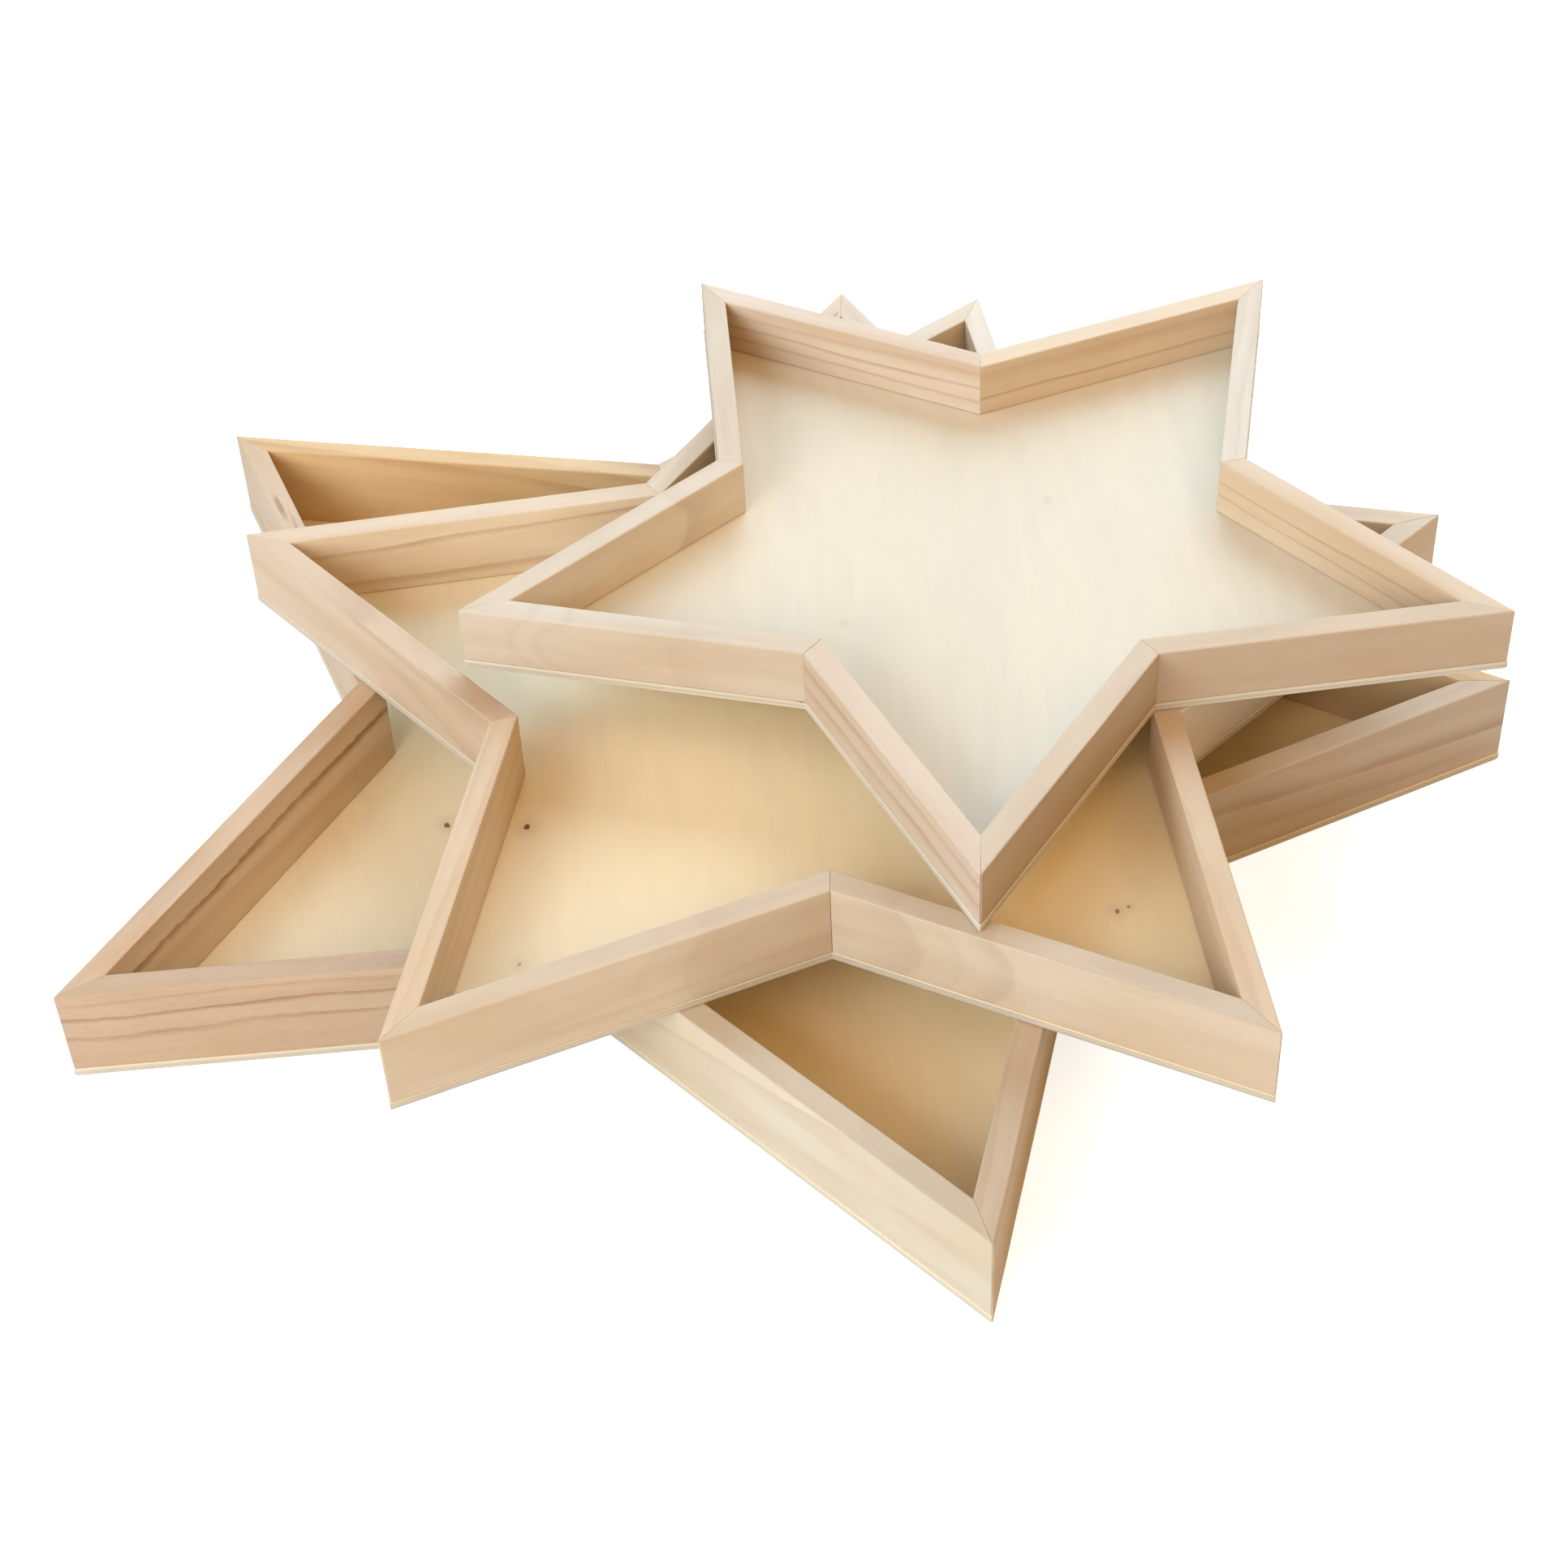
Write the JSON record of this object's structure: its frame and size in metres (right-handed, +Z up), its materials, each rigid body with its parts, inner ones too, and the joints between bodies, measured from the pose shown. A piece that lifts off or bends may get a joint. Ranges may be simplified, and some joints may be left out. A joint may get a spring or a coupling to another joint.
{
  "type": "star tray set",
  "caption": "Set of star-shaped wooden trays in graded sizes, each a low mitred wall on a thin base panel, stacked in a fan and free to lift off.",
  "frame": {"origin": "centre of the large tray's underside, where the set rests on a table", "axes": "+Z up out of the trays; -Y along the large tray's first point, towards the front; +X to the right"},
  "size_m": [0.4204, 0.3998, 0.0756],
  "materials": {
    "solid_wood": "plain sanded pale softwood, unfinished, with light brown grain lines along each rail",
    "plywood": "plain sanded pale plywood, unfinished, with fine straight grain and a few pin knots"
  },
  "bodies": {
    "large_tray": {"large_base_panel": "plywood", "large_point1_left_rail": "solid_wood", "large_point1_right_rail": "solid_wood", "large_point2_left_rail": "solid_wood", "large_point2_right_rail": "solid_wood", "large_point3_left_rail": "solid_wood", "large_point3_right_rail": "solid_wood", "large_point4_left_rail": "solid_wood", "large_point4_right_rail": "solid_wood", "large_point5_left_rail": "solid_wood", "large_point5_right_rail": "solid_wood"},
    "medium_tray": {"medium_base_panel": "plywood", "medium_point1_left_rail": "solid_wood", "medium_point1_right_rail": "solid_wood", "medium_point2_left_rail": "solid_wood", "medium_point2_right_rail": "solid_wood", "medium_point3_left_rail": "solid_wood", "medium_point3_right_rail": "solid_wood", "medium_point4_left_rail": "solid_wood", "medium_point4_right_rail": "solid_wood", "medium_point5_left_rail": "solid_wood", "medium_point5_right_rail": "solid_wood"},
    "small_tray": {"small_base_panel": "plywood", "small_point1_left_rail": "solid_wood", "small_point1_right_rail": "solid_wood", "small_point2_left_rail": "solid_wood", "small_point2_right_rail": "solid_wood", "small_point3_left_rail": "solid_wood", "small_point3_right_rail": "solid_wood", "small_point4_left_rail": "solid_wood", "small_point4_right_rail": "solid_wood", "small_point5_left_rail": "solid_wood", "small_point5_right_rail": "solid_wood"}
  },
  "joints": [
    {"name": "medium_lift", "type": "slide", "parent": "large_tray", "child": "medium_tray", "axis": [0, 0, 1], "range_m": [0, 0.15]},
    {"name": "small_lift", "type": "slide", "parent": "medium_tray", "child": "small_tray", "axis": [0, 0, 1], "range_m": [0, 0.15]}
  ]
}
